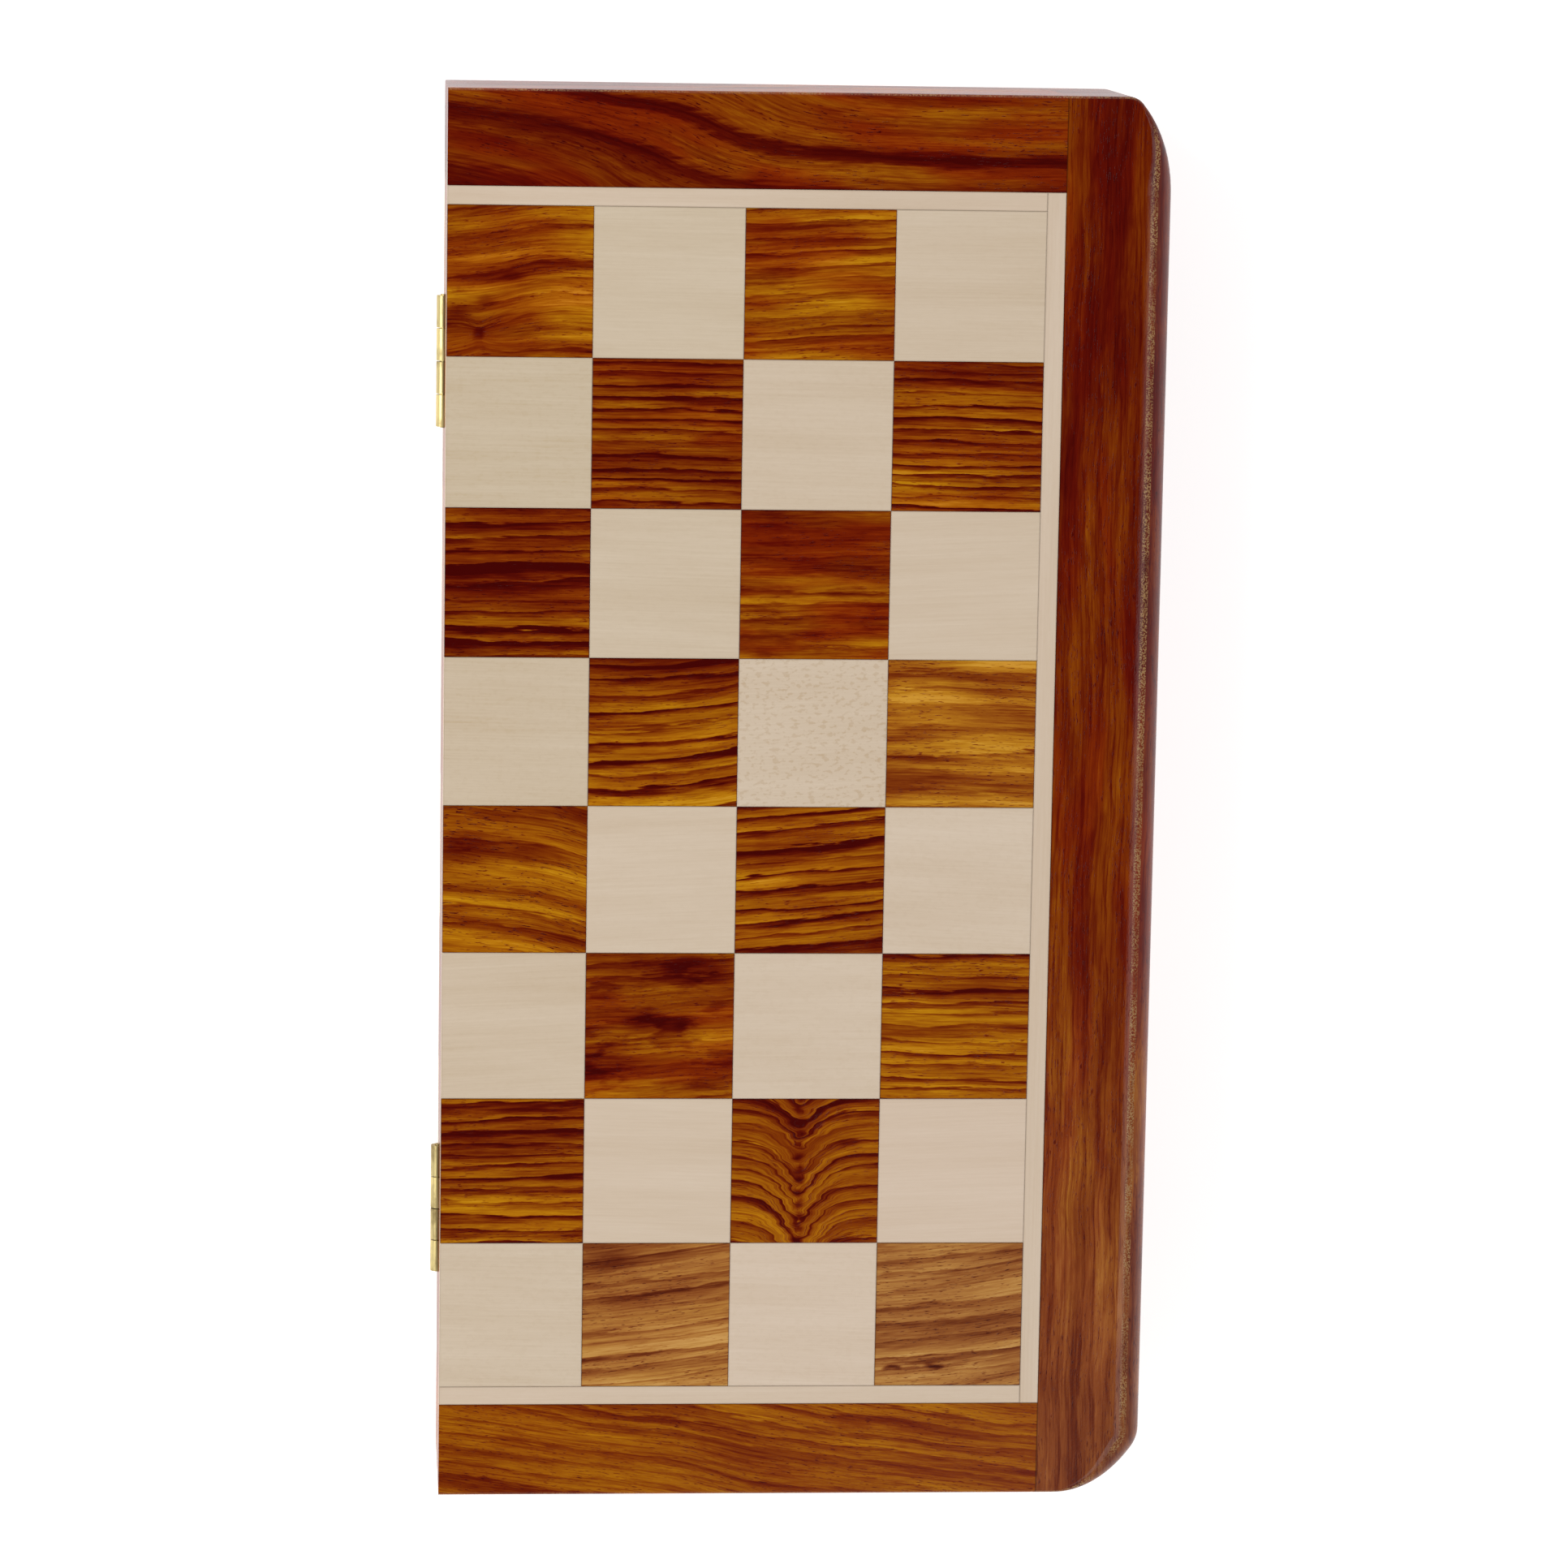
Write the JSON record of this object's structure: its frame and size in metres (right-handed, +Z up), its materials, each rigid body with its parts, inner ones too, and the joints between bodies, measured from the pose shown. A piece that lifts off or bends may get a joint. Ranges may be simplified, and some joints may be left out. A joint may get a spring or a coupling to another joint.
{
  "type": "folding chess board case",
  "caption": "Wooden chess board of inlaid dark and light squares that folds on brass hinges into a flat felt-lined storage case.",
  "frame": {"origin": "centre of the wooden case's lower playing face, shut, on the surface it lies on", "axes": "+Z up through the shut case, +Y along the fold towards the head end, -X towards the fold and its hinges"},
  "size_m": [0.1556, 0.3048, 0.044],
  "materials": {
    "frame_wood": "lacquered Indian rosewood (sheesham), semi-gloss",
    "dark_squares": "lacquered Indian rosewood (sheesham), striped grain, semi-gloss",
    "light_squares": "lacquered maple, faint fine grain, semi-gloss",
    "maple_string": "lacquered maple stringing, semi-gloss",
    "plywood": "bare three-ply birch, edge showing at the fold",
    "felt": "pressed wool felt, matt",
    "brass": "pressed brass, satin, lightly tarnished",
    "magnet": "nickel-plated disc magnet"
  },
  "bodies": {
    "lower_half": {"foot_hinge_lower_leaf": "brass", "foot_hinge_lower_screws": "brass", "foot_hinge_pin": "brass", "head_hinge_lower_leaf": "brass", "head_hinge_lower_screws": "brass", "head_hinge_pin": "brass", "lower_backing_panel": "plywood", "lower_floor_felt": "felt", "lower_foot_rail": "frame_wood", "lower_foot_string": "maple_string", "lower_foot_wall_felt": "felt", "lower_head_rail": "frame_wood", "lower_head_string": "maple_string", "lower_head_wall_felt": "felt", "lower_hinge_rail": "frame_wood", "lower_hinge_wall_felt": "felt", "lower_magnets": "magnet", "lower_outer_stile": "frame_wood", "lower_side_string": "maple_string", "lower_stile_wall_felt": "felt", "rank_5_dark_squares": "dark_squares", "rank_5_light_squares": "light_squares", "rank_6_dark_squares": "dark_squares", "rank_6_light_squares": "light_squares", "rank_7_dark_squares": "dark_squares", "rank_7_light_squares": "light_squares", "rank_8_dark_squares": "dark_squares", "rank_8_light_squares": "light_squares"},
    "upper_half": {"foot_hinge_upper_leaf": "brass", "foot_hinge_upper_screws": "brass", "head_hinge_upper_leaf": "brass", "head_hinge_upper_screws": "brass", "rank_1_dark_squares": "dark_squares", "rank_1_light_squares": "light_squares", "rank_2_dark_squares": "dark_squares", "rank_2_light_squares": "light_squares", "rank_3_dark_squares": "dark_squares", "rank_3_light_squares": "light_squares", "rank_4_dark_squares": "dark_squares", "rank_4_light_squares": "light_squares", "upper_backing_panel": "plywood", "upper_floor_felt": "felt", "upper_foot_rail": "frame_wood", "upper_foot_string": "maple_string", "upper_foot_wall_felt": "felt", "upper_head_rail": "frame_wood", "upper_head_string": "maple_string", "upper_head_wall_felt": "felt", "upper_hinge_rail": "frame_wood", "upper_hinge_wall_felt": "felt", "upper_magnets": "magnet", "upper_outer_stile": "frame_wood", "upper_side_string": "maple_string", "upper_stile_wall_felt": "felt"}
  },
  "joints": [
    {"name": "fold", "type": "hinge", "parent": "lower_half", "child": "upper_half", "pos_m": [-0.07715, 0, 0.022], "axis": [0, -1, 0], "range_deg": [0, 180]}
  ]
}
